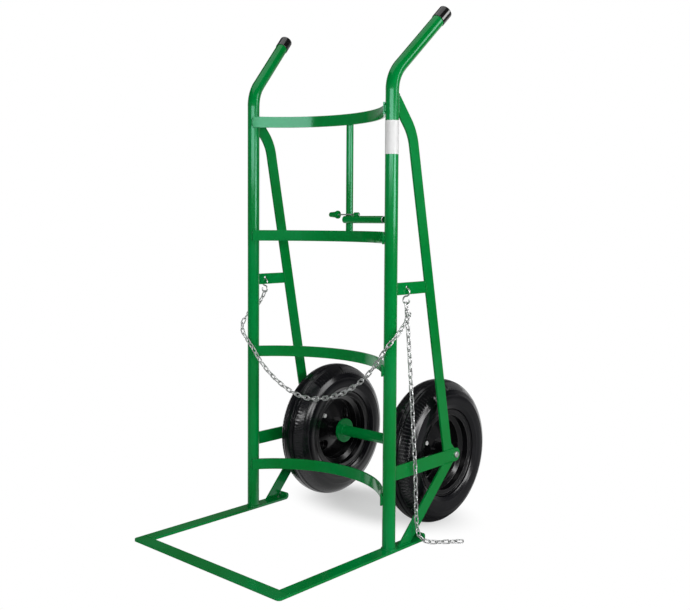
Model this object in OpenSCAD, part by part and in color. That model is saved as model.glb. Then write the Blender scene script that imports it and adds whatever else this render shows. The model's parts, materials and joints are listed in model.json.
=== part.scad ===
// Two-wheeled gas cylinder trolley with a toe frame, bowed rungs, splayed handles and a retaining chain.
// Millimetres. +Z is up, the toe frame points to -Y, the wheels are at +Y.
// The origin is on the floor, under the middle of the frame's box.

/* [Uprights and handles] */
// Distance between the axes of the two uprights
upright_spacing = 484; // [460:1:520]
// Outside diameter of the upright tube
tube_d = 32; // [28:0.5:36]
// Wall of the upright tube
tube_wall = 2; // [1.2:0.1:3]
// Height at which a handle's line meets its upright's axis
handle_corner_z = 1139; // [1125:1:1300]
// Rise of the handles above the horizontal, in degrees
handle_rise = 46; // [35:1:60]
// Outward splay of the handles, in degrees
handle_splay = 13; // [0:1:20]
// Bend radius of the tube's axis
handle_bend_r = 85; // [60:1:110]
// Length from that corner to the end of the grip cap
handle_len = 234; // [180:1:320]
// Length of a grip cap
cap_len = 35; // [25:1:60]
// Wall of a grip cap
cap_wall = 1.3; // [1:0.1:3]
// Thickness of a grip cap's closed end
cap_end = 4; // [2:0.5:8]

/* [Toe frame] */
// Reach of the toe frame in front of the uprights' axes
toe_reach = 384; // [300:1:450]
// Width of the flat bar of the toe frame
base_bar_w = 34; // [30:1:40]
// Thickness of that bar
base_bar_t = 6; // [4:0.5:8]
// Overhang of the side bars outside the uprights' axes
base_overhang = 18.5; // [16:0.5:22]
// Straight length of a side bar behind the uprights' axes
base_tail = 112; // [108:1:130]
// Inside radius of the curl at a side bar's rear end
curl_r = 4; // [3:0.5:8]
// Turn of that curl, in degrees
curl_turn = 190; // [120:5:240]
// Outer corner radius of the front bar
toe_corner_r = 9; // [4:0.5:15]

/* [Rungs] */
// Height of a rung's flat bar
rung_h = 29; // [24:0.5:36]
// Thickness of that bar
rung_t = 5; // [4:0.5:7]
// Setback of a rung's rear face, at its middle, behind the uprights' axes
rung_bow = 113; // [80:1:130]
// Run of a rung's end past its weld on the upright
rung_end_past = 5; // [0:0.5:8]
// Height of the bottom rung's middle
bottom_rung_z = 126; // [90:1:160]
// Height of the lower rung's middle
lower_rung_z = 439; // [380:1:480]
// Height of the upper rung's middle
upper_rung_z = 755; // [700:1:765]
// Height of the top rung's middle
top_rung_z = 1061; // [1000:1:1070]

/* [Side frames] */
// Thickness of the flat bar of the side frames
bar_t = 5; // [4:0.5:6]
// Offset of the side frames' middle plane outside the uprights' axes
side_offset = 8; // [6:0.5:10]
// Width of the stay's bar
stay_w = 33; // [28:0.5:36]
// Height at which the stay's middle meets the upright's rear
stay_top_z = 1068; // [1040:1:1090]
// Setback of the stay's knee behind the uprights' axes
stay_knee_back = 68; // [55:1:80]
// Height of the stay's knee
stay_knee_z = 1007; // [980:1:1010]
// Bend radius of the stay's middle line
stay_bend_r = 110; // [90:1:130]
// Setback of the stay's foot on the axle brace
stay_foot_back = 226; // [205:1:230]
// Reach of the flare behind the stay's foot
stay_flare = 13; // [6:1:16]
// Height of that flare at the stay's middle
stay_flare_h = 30; // [20:1:40]
// Height of the mid brace's middle
mid_brace_z = 633.5; // [560:0.5:700]
// Height of the mid brace's bar
mid_brace_h = 29.5; // [26:0.5:34]
// Setback of the chain hook's hole behind the uprights' axes
hook_hole_back = 50; // [40:1:60]
// Height of that hole above the brace's middle
hook_hole_up = 2.5; // [0:0.5:3]
// Diameter of that hole
hook_hole_d = 10; // [9:0.5:11]
// Height of the axle brace's bar
axle_brace_h = 34; // [30:0.5:40]
// Width of a leg's bar
leg_w = 32; // [26:0.5:36]
// Setback of a leg's top on the axle brace
leg_top_back = 226; // [215:1:230]
// Setback of the left leg's foot on its side bar
left_leg_foot_back = 75; // [48:1:75]
// Setback of the right leg's foot on its side bar
right_leg_foot_back = 49; // [48:1:75]

/* [Axle] */
// Setback of the axle behind the uprights' axes
axle_back = 262; // [258:1:300]
// Diameter of the axle rod
axle_d = 16; // [12:0.5:18]
// Stand-out of the axle's ends past the side frames
axle_stand_out = 5; // [3:0.5:8]
// Bevel of the axle's ends
axle_bevel = 1.5; // [0.5:0.5:2]
// Outside diameter of the spacer tube
spacer_d = 30; // [27:0.5:36]
// Wall of the spacer tube
spacer_wall = 2; // [1.5:0.1:3]
// Flange diameter of a spacer collar
collar_d = 68; // [50:1:70]
// Flange thickness of a spacer collar
collar_t = 6; // [4:0.5:8]
// Length of a collar's spigot inside the spacer tube
collar_spigot = 18; // [10:1:30]
// Diameter of an axle washer
washer_d = 34; // [28:1:44]
// Thickness of an axle washer
washer_t = 3; // [2:0.5:4]
// Diameter of an outer sleeve on the axle
sleeve_d = 24; // [20:0.5:30]
// Diameter of an axle clip
clip_d = 22; // [20:0.5:28]
// Thickness of an axle clip
clip_t = 1.6; // [1:0.1:2]
// Depth of the axle's clip grooves
clip_groove = 0.8; // [0.5:0.1:1.2]

/* [Wheels] */
// Distance of a wheel's middle plane from the trolley's middle
wheel_x = 184; // [178:0.5:186]
// Diameter of a tyre
tyre_d = 378; // [368:1:386]
// Width of a tyre
tyre_w = 98; // [92:1:100]
// Wall of a tyre
tyre_wall = 8; // [6:0.5:9]
// Depth of the tread grooves
tread_groove_depth = 2.5; // [1:0.5:4]
// Width of the tread grooves
tread_groove_w = 3; // [2:0.5:4]
// Spacing of the tread grooves across the tyre
tread_groove_pitch = 14; // [10:1:16]
// Wall of the inner tube
inner_tube_wall = 2; // [1.5:0.5:3]
// Radius of the rim's bead seats
bead_seat_r = 101.5; // [99:0.5:103]
// Inside width between the rim's flanges
rim_w = 70; // [64:1:72]
// Height of a rim flange above the bead seat
rim_flange_h = 10.5; // [8:0.5:12]
// Radius of the rolled lip on a rim flange
rim_lip_r = 3; // [2:0.5:3.5]
// Thickness of the rim's sheet
rim_t = 2.5; // [2:0.1:3]
// Depth of the rim's well below the bead seats
rim_well_depth = 11.5; // [8:0.5:14]
// Width of the rim's well
rim_well_w = 24; // [18:1:30]
// Thickness of the wheel disc
disc_t = 3; // [2:0.5:4]
// Offset of the disc's centre towards +X
disc_centre_out = 10; // [6:1:14]
// Offset of the disc's rim edge towards -X
disc_edge_in = 8; // [5:0.5:9]
// Turn of the first pressed pocket of a disc from the valve, in degrees
near_pocket_turn = 85; // [80:1:95]
// Turn of its second pocket from the valve, in degrees
far_pocket_turn = -109; // [-115:1:-90]
// Inside diameter of a pocket
pocket_d = 34; // [28:1:36]
// Distance of a pocket from the axle
pocket_r = 62; // [58:1:64]
// Depth of a pocket's floor behind the wheel's middle plane
pocket_depth = 14; // [11:1:18]
// Wall of a pocket
pocket_wall = 2; // [1.5:0.1:2.2]
// Outside diameter of a hub
hub_d = 46; // [42:0.5:52]
// Length of a hub
hub_len = 84; // [80:1:86]
// Outside diameter of a wheel bearing
bearing_d = 35; // [30:0.5:38]
// Width of a wheel bearing
bearing_w = 11; // [9:0.5:14]
// Wall of the hub's shoulder behind a bearing
hub_shoulder = 2.5; // [1.5:0.5:4]
// Turn of the left wheel's valve from +Y towards +Z, in degrees
left_valve_angle = 142; // [0:1:359]
// Turn of the right wheel's valve, in degrees
right_valve_angle = 154; // [0:1:359]
// Diameter of a valve stem
valve_d = 8; // [7:0.5:10]
// Reach of a valve stem out of the wheel's middle plane
valve_reach = 24; // [20:1:34]
// Diameter of a valve cap
valve_cap_d = 11.5; // [9:0.5:12]
// Length of a valve cap
valve_cap_len = 10; // [6:0.5:12]

/* [Hanger] */
// Outside diameter of the hanger post
post_d = 19; // [16:0.5:22]
// Wall of the hanger post
post_wall = 1.5; // [1:0.1:2.5]
// Overlap of the post's ends behind the rungs, past the rungs' middles
post_overlap = 11; // [6:0.5:12]
// Outside diameter of the hanger arm
arm_d = 19.4; // [16:0.2:22]
// Wall of the hanger arm
arm_wall = 1.8; // [1:0.1:2.5]
// Length of the hanger arm from the post's axis
arm_len = 133; // [90:1:150]
// Height of the arm's axis above the upper rung's middle
arm_above_rung = 44; // [40:1:120]
// Diameter of the keeper pin
pin_d = 4; // [3:0.5:6]
// Gap between the keeper pin and the top of the arm
pin_gap = 1.2; // [1:0.1:2]
// Diameter of the keeper pin's boss on the arm
boss_d = 12; // [11:0.5:14]
// Length of that boss
boss_len = 13; // [8:0.5:20]
// Distance of the boss's middle from the post's axis
boss_out = 42; // [36:1:60]
// Diameter of the collar on the pin's end
pin_collar_d = 5; // [4.5:0.5:5]
// Length of the collar on the pin's end
pin_collar_len = 2; // [1:0.5:4]
// Length of the pull knob
knob_len = 31; // [28:1:50]
// Diameter of the pull knob's wide end
knob_d = 21.5; // [18:0.5:24]
// Diameter of the pull knob's narrow end
knob_tip_d = 13; // [10:0.5:16]
// Distance of the pull knob's wide end from the post's axis
knob_out = 22.5; // [15.5:0.5:30]

/* [Label] */
// Height of the blank label's lower edge on the right upright
label_z = 953; // [800:1:960]
// Height of the label
label_h = 79; // [40:1:80]
// Wrap of the label round the tube, in degrees
label_wrap = 200; // [120:5:300]
// Direction of the label's middle, in degrees from +X
label_facing = -47; // [-90:1:0]
// Thickness of the label
label_t = 0.3; // [0.2:0.1:0.5]

/* [Chains and hooks] */
// Wire diameter of a chain link
link_wire_d = 3.3; // [2.5:0.1:3.5]
// Outside width of a chain link
link_w = 12.5; // [12:0.5:14]
// Pitch of the chain
link_pitch = 16.5; // [16:0.5:18]
// Slack between two links
link_slack = 0.7; // [0.5:0.1:1]
// Number of links of the front chain
front_chain_links = 52; // [45:1:52]
// Number of links of the side chain
side_chain_links = 42; // [36:1:42]
// Wire diameter of an S-hook
hook_wire_d = 4; // [3:0.5:4.5]
// Loop radius of an S-hook, at the middle of the wire
hook_loop_r = 9.5; // [9:0.5:11]
// Wire diameter of the front chain's end hook
end_hook_wire_d = 3; // [2.5:0.5:3]
// Loop radius of that hook, at the middle of the wire
end_hook_loop_r = 5.8; // [5.4:0.1:6]

/* [Hidden] */
$fn = 64;
// Gap left at a welded or seated joint
weld_gap = 0.1;
// Gap between a turning face and a standing one
turn_gap = 0.3;
// Radial clearance of a running fit
run_fit = 0.05;
// Radial clearance of a seat that is pressed together
seat_fit = 0.02;
// Overlap of a cutting shape past the face that it cuts
cut_over = 1;
// Step at a bend's ends, and the lap of the straights inside the bend
bend_step = 0.2;
bend_lap = 0.5;
// Facets of the stay's bend
stay_bend_steps = 16;

left = -1;
right = 1;
frame_green = "#0a8a3c";
tyre_black = "#26262a";
rim_black = "#141416";
rubber_black = "#1b1b1b";
zinc = "#c9cac8";
bare_steel = "#9a9c9e";
label_white = "#f4f4f2";

// Uprights: the frame's box, from the toe frame's front to the tyres' rear, is centred on Y
axle_z = tyre_d / 2;
upright_y = (toe_reach - axle_back - tyre_d / 2) / 2;
upright_x = upright_spacing / 2;
tube_r = tube_d / 2;
bend_turn = 90 - handle_rise;
bend_leg = handle_bend_r * tan(bend_turn / 2);
bend_start_z = handle_corner_z - bend_leg;
handle_straight = handle_len - bend_leg;

// Toe frame
toe_front_y = upright_y - toe_reach;
base_outer_x = upright_x + base_overhang;
base_inner_x = base_outer_x - base_bar_w;

// Rungs: the rear face of the arc touches both uprights
rung_tangent_r = tube_r + weld_gap;
rung_r = (pow(upright_x, 2) + pow(rung_bow, 2) - pow(rung_tangent_r, 2)) / (2 * (rung_tangent_r + rung_bow));
rung_centre_y = upright_y + rung_bow - rung_r;
rung_half_turn = asin(upright_x / (rung_r + rung_tangent_r)) + rung_end_past / rung_r * 180 / PI;

// Side frames, in a plane with Y behind the uprights' axes across and Z up
side_x = upright_x + side_offset;
axle_brace_top = axle_z + axle_brace_h / 2;
axle_brace_bottom = axle_z - axle_brace_h / 2;
stay_foot = [stay_foot_back, axle_brace_top];
stay_knee = [stay_knee_back, stay_knee_z];
stay_top = [tube_r, stay_top_z];
stay_lean = atan((stay_foot.x - stay_knee.x) / (stay_knee.y - stay_foot.y));
stay_head_lean = atan((stay_knee.x - stay_top.x) / (stay_top.y - stay_knee.y));
stay_bend_leg = stay_bend_r * tan((stay_head_lean - stay_lean) / 2);
hook_hole_z = mid_brace_z + hook_hole_up;

// Axle stack, as distances from the trolley's middle
brace_inner_x = side_x - bar_t / 2;
brace_outer_x = side_x + bar_t / 2;
hub_inner_x = wheel_x - hub_len / 2;
hub_outer_x = wheel_x + hub_len / 2;
collar_face_x = hub_inner_x - turn_gap;
spacer_end_x = collar_face_x - collar_t - weld_gap;
washer_x = hub_outer_x + turn_gap;
sleeve_x = washer_x + washer_t + weld_gap;
clip_x = brace_inner_x - clip_t - weld_gap;
sleeve_len = clip_x - weld_gap - sleeve_x;
axle_bore_r = axle_d / 2 + run_fit;

// Wheels
axle_y = upright_y + axle_back;
tyre_section_r = tyre_w / 2;
tyre_ring_r = tyre_d / 2 - tyre_section_r;
rim_flange_r = bead_seat_r + rim_flange_h;
rim_well_r = bead_seat_r - rim_well_depth;
rim_inner_r = rim_well_r - rim_t;
rim_clear = 0.5;
tread_grooves = 2;
valve_r = rim_inner_r - valve_d;
valve_foot_up = 3;
disc_slope_start = hub_d / 2 + 10;

// Hanger
post_y = upright_y + rung_bow + post_d / 2 + weld_gap;
arm_y = post_y - post_d / 2 - arm_d / 2 - weld_gap;
arm_z = upper_rung_z + arm_above_rung;
pin_z = arm_z + arm_d / 2 + pin_d / 2 + pin_gap;
pin_end_x = boss_out + boss_len / 2 + turn_gap;

// Chains: link sizes, and the routes' points along the photographed lie, with Y behind the uprights' axes
link_r = link_wire_d / 2;
link_end_r = link_w / 2 - link_r;
link_half = link_pitch / 2 + link_r + link_slack / 2;
hook_rest = 0.8;
hook_crown_z = hook_hole_z - hook_hole_d / 2 + hook_wire_d / 2 + hook_rest;
hook_mid_z = hook_crown_z - 2 * hook_loop_r;
chain_start_z = hook_mid_z - 2 * hook_loop_r + hook_wire_d / 2 + link_slack / 2;
front_chain_route = [
    [-side_x, hook_hole_back, chain_start_z], [-256, 46, 580], [-263, 33, 560], [-269, 8, 540],
    [-270, -11, 520], [-261, -25, 500], [-244, -28, 478], [-221, -26, 456], [-179, -26, 412],
    [-128, -26, 377], [-71, -26, 352], [-17, -26, 342], [30, -26, 345], [88, -26, 360], [138, -26, 384],
    [186, -26, 418], [223, -26, 458], [243, -26, 485], [258, -23, 505], [269, -11, 524],
    [272, 7, 542], [269, 25, 556], [264, 39, 566], [260, 47, 572]
];
side_chain_route = [
    [side_x, hook_hole_back, chain_start_z], [252, 52, 560], [256, 56, 480], [258, 61, 400], [261, 67, 300],
    [263, 74, 200], [263.5, 78, 120], [264, 79.5, 75], [265, 81, 45], [268.5, 84.5, 24], [277, 93.5, 10.5],
    [290, 108, 5.8], [306, 126, 5.5], [325, 148, 5.5], [347, 174, 5.5]
];
route_steps = 8;
front_chain_twist = 90;
side_chain_twist = 15;
twist_links = 10;
end_hook_grip_link = 1;

// Point at share t between the two middle points of four, on a smooth curve through all of them
function spline_point(a, b, c, d, t) =
    b + t * (c - a) / 2 + t * t * (a - 2.5 * b + 2 * c - d / 2) + t * t * t * (1.5 * (b - c) + (d - a) / 2);

// A route's points, filled in along the smooth curve
function smooth_route(p) = concat(
    [for (i = [0 : len(p) - 2])
        for (k = [0 : route_steps - 1])
            spline_point(p[max(i - 1, 0)], p[i], p[i + 1], p[min(i + 2, len(p) - 1)], k / route_steps)],
    [p[len(p) - 1]]
);

// Distance along a route at each of its points
function route_lengths(p) =
    [for (i = 0, s = 0; i < len(p); i = i + 1, s = s + (i < len(p) ? norm(p[i] - p[i - 1]) : 0)) s];

// Point at a distance along a route
function route_at(p, lengths, s) =
    [for (k = [0 : 2]) lookup(s, [for (i = [0 : len(p) - 1]) [lengths[i], p[i][k]]])];

// The pivots between a chain's links
function chain_pivots(route, count) =
    let (p = smooth_route(route), lengths = route_lengths(p))
    [for (i = [0 : count]) route_at(p, lengths, i * link_pitch) + [0, upright_y, 0]];

function unit(v) = v / norm(v);

// Frame matrix with its Z axis along a direction and its X axis square to a given axis
function run_frame(origin, dir, axis) =
    let (z = unit(dir), x = unit(cross(axis, z)), y = cross(z, x))
    [[x.x, y.x, z.x, origin.x], [x.y, y.y, z.y, origin.y], [x.z, y.z, z.z, origin.z], [0, 0, 0, 1]];

front_pivots = chain_pivots(front_chain_route, front_chain_links);
side_pivots = chain_pivots(side_chain_route, side_chain_links);

// Turns a shape drawn with X and Y across into the Y-Z plane, with its height along X
module on_side_plane() rotate([90, 0, 90]) children();

// Flat bar of a side frame: a shape in the side frame's own plane, given the bar's thickness
module side_plate(side)
    translate([side * side_x - bar_t / 2, upright_y, 0])
        on_side_plane()
            linear_extrude(bar_t) children();

// The upright tube's outside, cleared by the weld gap, for cutting what is welded to it
module upright_cut(side)
    translate([side * upright_x, upright_y, -cut_over])
        cylinder(h = handle_corner_z, r = tube_r + weld_gap);

// Solid run of an upright and its handle at a given radius
module upright_run(r, open) {
    straight_start = base_bar_t + weld_gap - open;
    translate([0, 0, straight_start]) cylinder(h = bend_start_z + bend_lap - straight_start, r = r);
    translate([handle_bend_r, 0, bend_start_z])
        rotate([90, 0, 0])
            rotate([0, 0, 180 - bend_turn])
                rotate_extrude(angle = bend_turn)
                    translate([handle_bend_r, 0]) circle(r + bend_step);
    on_handle_axis(bend_leg - bend_lap)
        cylinder(h = handle_straight + bend_lap - cap_end - weld_gap + open, r = r);
}

// A place on a handle's axis, at a distance from the corner, with Z along the handle
module on_handle_axis(distance)
    translate([0, 0, handle_corner_z])
        rotate([0, bend_turn, 0])
            translate([0, 0, distance]) children();

// Stands a shape on an upright's axis, with X turned to where the handle points
module on_upright(side)
    translate([side * upright_x, upright_y, 0])
        rotate([0, 0, 90 - side * handle_splay]) children();

module upright(side)
    color(frame_green)
        on_upright(side)
            difference() {
                upright_run(tube_r, 0);
                upright_run(tube_r - tube_wall, cut_over);
            }

module grip_cap(side)
    color(rubber_black)
        on_upright(side)
            on_handle_axis(handle_len - cap_len)
                difference() {
                    cap_body();
                    translate([0, 0, -cut_over])
                        cylinder(h = cap_len - cap_end + cut_over, r = tube_r + weld_gap);
                }

// Outside of a grip cap, with its closed end rounded
module cap_body() {
    cap_r = tube_r + weld_gap + cap_wall;
    round_r = cap_end / 2;
    rotate_extrude() {
        square([cap_r, cap_len - round_r]);
        square([cap_r - round_r, cap_len]);
        translate([cap_r - round_r, cap_len - round_r]) circle(round_r);
    }
}

module front_toe_bar()
    color(frame_green)
        translate([-base_outer_x, toe_front_y, 0])
            linear_extrude(base_bar_t) {
                translate([0, toe_corner_r]) square([2 * base_outer_x, base_bar_w - toe_corner_r]);
                translate([toe_corner_r, 0]) square([2 * (base_outer_x - toe_corner_r), base_bar_w]);
                for (x = [toe_corner_r, 2 * base_outer_x - toe_corner_r])
                    translate([x, toe_corner_r]) circle(toe_corner_r);
            }

module base_bar(side) {
    bar_len = base_tail + toe_reach - base_bar_w - weld_gap;
    color(frame_green)
        translate([side > 0 ? base_inner_x : -base_outer_x, upright_y + base_tail, 0]) {
            translate([0, -bar_len, 0]) cube([base_bar_w, bar_len, base_bar_t]);
            translate([0, 0, base_bar_t + curl_r])
                on_side_plane()
                    rotate([0, 0, -90])
                        rotate_extrude(angle = curl_turn)
                            translate([curl_r, 0]) square([base_bar_t, base_bar_w]);
        }
}

module rung(z)
    color(frame_green)
        translate([0, rung_centre_y, z - rung_h / 2])
            rotate([0, 0, 90 - rung_half_turn])
                rotate_extrude(angle = 2 * rung_half_turn)
                    translate([rung_r - rung_t, 0]) square([rung_t, rung_h]);

// Setback of the stay's front or rear edge at a height on its long straight
function stay_front(z) = stay_foot.x - (z - stay_foot.y) * tan(stay_lean) - stay_w / 2 / cos(stay_lean);
function stay_rear(z) = stay_front(z) + stay_w / cos(stay_lean);

module stay(side) {
    flare_low = axle_brace_top + weld_gap;
    flare_tip = stay_rear(flare_low) + stay_flare;
    color(frame_green)
        difference() {
            side_plate(side)
                intersection() {
                    union() {
                        translate(stay_knee) rotate(stay_lean - 90) stay_strip();
                        polygon([
                            [stay_foot.x, flare_low + stay_flare_h], [stay_foot.x, flare_low - stay_flare_h],
                            [2 * flare_tip - stay_foot.x, flare_low - stay_flare_h]
                        ]);
                    }
                    translate([0, flare_low]) square(handle_corner_z);
                }
            upright_cut(side);
        }
}

// Outline of the stay's bar from its knee, its long straight along +X; its ends run on to be cut
module stay_strip() {
    turn = stay_head_lean - stay_lean;
    centre = [stay_bend_leg, -stay_bend_r];
    long_end = norm(stay_knee - stay_foot) + stay_w;
    head_run = norm(stay_top - stay_knee) - stay_bend_leg + stay_w / 2;
    head_end = centre + head_run * [-cos(turn), -sin(turn)];
    polygon(concat(
        [[long_end, stay_w / 2]],
        [for (k = [0 : stay_bend_steps]) centre + stay_bend_point(stay_w / 2, k * turn / stay_bend_steps)],
        [head_end + stay_bend_point(stay_w / 2, turn), head_end + stay_bend_point(-stay_w / 2, turn)],
        [for (k = [stay_bend_steps : -1 : 0])
            centre + stay_bend_point(-stay_w / 2, k * turn / stay_bend_steps)],
        [[long_end, -stay_w / 2]]
    ));
}

// A point of the stay's bend from its centre, at a distance out from the bar's middle
function stay_bend_point(out, turn) = (stay_bend_r + out) * [-sin(turn), cos(turn)];

module mid_brace(side) {
    low = mid_brace_z - mid_brace_h / 2;
    high = mid_brace_z + mid_brace_h / 2;
    color(frame_green)
        difference() {
            side_plate(side)
                difference() {
                    polygon([
                        [0, low], [stay_front(low) - weld_gap, low],
                        [stay_front(high) - weld_gap, high], [0, high]
                    ]);
                    translate([hook_hole_back, hook_hole_z]) circle(d = hook_hole_d);
                }
            upright_cut(side);
        }
}

module axle_brace(side)
    color(frame_green)
        difference() {
            side_plate(side)
                difference() {
                    union() {
                        translate([0, axle_brace_bottom]) square([axle_back, axle_brace_h]);
                        translate([axle_back, axle_z]) circle(d = axle_brace_h);
                    }
                    translate([axle_back, axle_z]) circle(r = axle_d / 2 + weld_gap);
                }
            upright_cut(side);
        }

module leg(side, foot_back) {
    foot = [foot_back, base_bar_t + weld_gap];
    top = [leg_top_back, axle_brace_bottom - weld_gap];
    half_cut = leg_w / 2 / sin(atan((top.y - foot.y) / (top.x - foot.x)));
    color(frame_green)
        side_plate(side)
            polygon([
                [foot.x - half_cut, foot.y], [foot.x + half_cut, foot.y],
                [top.x + half_cut, top.y], [top.x - half_cut, top.y]
            ]);
}

// Places a shape on the axle, with Z along +X and X along +Y
module on_axle(x) translate([x, axle_y, axle_z]) on_side_plane() children();

// A ring on the axle on both sides of the trolley, from a distance outwards
module axle_ring_pair(from, length, outer_r, bore_r)
    for (side = [left, right])
        on_axle(side > 0 ? from : -from - length)
            difference() {
                cylinder(h = length, r = outer_r);
                translate([0, 0, -cut_over]) cylinder(h = length + 2 * cut_over, r = bore_r);
            }

module axle_rod() {
    half = brace_outer_x + axle_stand_out;
    color(bare_steel)
        difference() {
            on_axle(-half)
                rotate_extrude()
                    polygon([
                        [0, 0], [axle_d / 2 - axle_bevel, 0], [axle_d / 2, axle_bevel],
                        [axle_d / 2, 2 * half - axle_bevel], [axle_d / 2 - axle_bevel, 2 * half],
                        [0, 2 * half]
                    ]);
            axle_ring_pair(clip_x - weld_gap, clip_t + 2 * weld_gap, axle_d, axle_d / 2 - clip_groove);
        }
}

module spacer_tube()
    color(frame_green)
        on_axle(-spacer_end_x)
            difference() {
                cylinder(h = 2 * spacer_end_x, d = spacer_d);
                translate([0, 0, -cut_over])
                    cylinder(h = 2 * (spacer_end_x + cut_over), d = spacer_d - 2 * spacer_wall);
            }

module spacer_collars()
    color(frame_green)
        for (side = [left, right])
            on_axle(0)
                mirror([0, 0, side > 0 ? 0 : 1])
                    translate([0, 0, collar_face_x - collar_t])
                        difference() {
                            union() {
                                cylinder(h = collar_t, d = collar_d);
                                translate([0, 0, -collar_spigot])
                                    cylinder(h = collar_spigot, r = spacer_d / 2 - spacer_wall - weld_gap);
                            }
                            translate([0, 0, -collar_spigot - cut_over])
                                cylinder(h = collar_spigot + collar_t + 2 * cut_over,
                                         r = axle_d / 2 + weld_gap);
                        }

module axle_washers()
    color(zinc) axle_ring_pair(washer_x, washer_t, washer_d / 2, axle_d / 2 + weld_gap);

module axle_sleeves()
    color(frame_green) axle_ring_pair(sleeve_x, sleeve_len, sleeve_d / 2, axle_d / 2 + weld_gap);

module axle_clips()
    color(bare_steel)
        axle_ring_pair(clip_x, clip_t, clip_d / 2, axle_d / 2 - clip_groove + weld_gap);

// Centres a wheel's shape on its axle place, turned so that its valve points to an angle
module on_wheel(side)
    on_axle(side * wheel_x)
        rotate([0, 0, side > 0 ? right_valve_angle : left_valve_angle]) children();

// Radius of the tyre's crown at a distance from its middle plane
function crown_r(x) = tyre_ring_r + sqrt(pow(tyre_section_r, 2) - pow(x, 2));

module tyre(side)
    color(tyre_black)
        on_wheel(side)
            rotate_extrude()
                difference() {
                    translate([tyre_ring_r, 0]) circle(tyre_section_r);
                    translate([tyre_ring_r, 0]) circle(tyre_section_r - tyre_wall);
                    translate([0, -tyre_w]) square([bead_seat_r + rim_clear, 2 * tyre_w]);
                    for (flank = [left, right])
                        translate([0, flank > 0 ? rim_w / 2 - rim_clear : -tyre_w])
                            square([rim_flange_r + rim_lip_r + rim_clear, tyre_w - rim_w / 2 + rim_clear]);
                    for (k = [-tread_grooves : tread_grooves])
                        translate([crown_r(k * tread_groove_pitch) - tread_groove_depth,
                                   k * tread_groove_pitch - tread_groove_w / 2])
                            square([tyre_wall, tread_groove_w]);
                }

// Section of the inner tube's air space, drawn in by a distance
module inner_tube_section(inset)
    intersection() {
        translate([tyre_ring_r, 0]) circle(tyre_section_r - tyre_wall - rim_clear - inset);
        translate([bead_seat_r + 2 * rim_clear + inset, -tyre_w]) square([tyre_d, 2 * tyre_w]);
    }

module inner_tube(side)
    color(rubber_black)
        on_wheel(side)
            rotate_extrude()
                difference() {
                    inner_tube_section(0);
                    inner_tube_section(inner_tube_wall);
                }

module rim(side) {
    half = rim_w / 2;
    well = rim_well_w / 2;
    ramp = rim_well_depth / 2;
    color(rim_black)
        on_wheel(side)
            difference() {
                rotate_extrude() {
                    polygon([
                        [rim_flange_r, -half], [bead_seat_r, -half],
                        [bead_seat_r, -well - ramp], [rim_well_r, -well],
                        [rim_well_r, well], [bead_seat_r, well + ramp],
                        [bead_seat_r, half], [rim_flange_r, half],
                        [rim_flange_r, half + rim_t], [bead_seat_r - rim_t, half + rim_t],
                        [bead_seat_r - rim_t, well + ramp + rim_t], [rim_inner_r, well + rim_t],
                        [rim_inner_r, -well - rim_t], [bead_seat_r - rim_t, -well - ramp - rim_t],
                        [bead_seat_r - rim_t, -half - rim_t], [rim_flange_r, -half - rim_t]
                    ]);
                    for (flank = [left, right])
                        translate([rim_flange_r, flank * (half + rim_t)]) circle(rim_lip_r);
                }
                rotate([0, 90, 0]) cylinder(h = tyre_d, r = valve_d / 2 + weld_gap);
            }
}

module wheel_disc(side) {
    hub_seat_r = hub_d / 2 + weld_gap;
    edge_r = rim_inner_r - weld_gap;
    color(rim_black)
        on_wheel(side)
            difference() {
                union() {
                    rotate_extrude()
                        polygon([
                            [hub_seat_r, disc_centre_out], [disc_slope_start, disc_centre_out],
                            [edge_r - disc_t, -disc_edge_in], [edge_r, -disc_edge_in],
                            [edge_r, -disc_edge_in - disc_t],
                            [edge_r - 2 * disc_t, -disc_edge_in - disc_t],
                            [disc_slope_start - disc_t, disc_centre_out - disc_t],
                            [hub_seat_r, disc_centre_out - disc_t]
                        ]);
                    intersection() {
                        rotate_extrude()
                            polygon([
                                [disc_slope_start, -rim_w], [disc_slope_start, disc_centre_out - disc_t / 2],
                                [edge_r - disc_t, -disc_edge_in - disc_t / 2], [edge_r - disc_t, -rim_w]
                            ]);
                        disc_pockets(pocket_depth + pocket_wall, pocket_d + 2 * pocket_wall);
                    }
                }
                disc_pockets(pocket_depth, pocket_d);
            }
}

// Both pockets of a wheel disc as plain cylinders, from a depth outwards
module disc_pockets(depth, d)
    for (turn = [near_pocket_turn, far_pocket_turn])
        rotate([0, 0, turn])
            translate([pocket_r, 0, -depth]) cylinder(h = rim_w, d = d);

module hub(side) {
    seat_r = bearing_d / 2 + seat_fit;
    color(rim_black)
        on_wheel(side)
            translate([0, 0, -hub_len / 2])
                difference() {
                    cylinder(h = hub_len, d = hub_d);
                    translate([0, 0, -cut_over])
                        cylinder(h = hub_len + 2 * cut_over, r = seat_r - hub_shoulder);
                    for (z = [-cut_over, hub_len - bearing_w])
                        translate([0, 0, z]) cylinder(h = bearing_w + cut_over, r = seat_r);
                }
}

module bearings(side) {
    shield_in = 0.6;
    ring_wall = 3;
    color(bare_steel)
        on_wheel(side)
            for (z = [-hub_len / 2, hub_len / 2 - bearing_w])
                translate([0, 0, z])
                    rotate_extrude()
                        difference() {
                            translate([axle_bore_r, 0]) square([bearing_d / 2 - axle_bore_r, bearing_w]);
                            for (y = [-bearing_w + shield_in, bearing_w - shield_in])
                                translate([axle_bore_r + ring_wall, y])
                                    square([bearing_d / 2 - axle_bore_r - 2 * ring_wall, bearing_w]);
                        }
}

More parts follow.
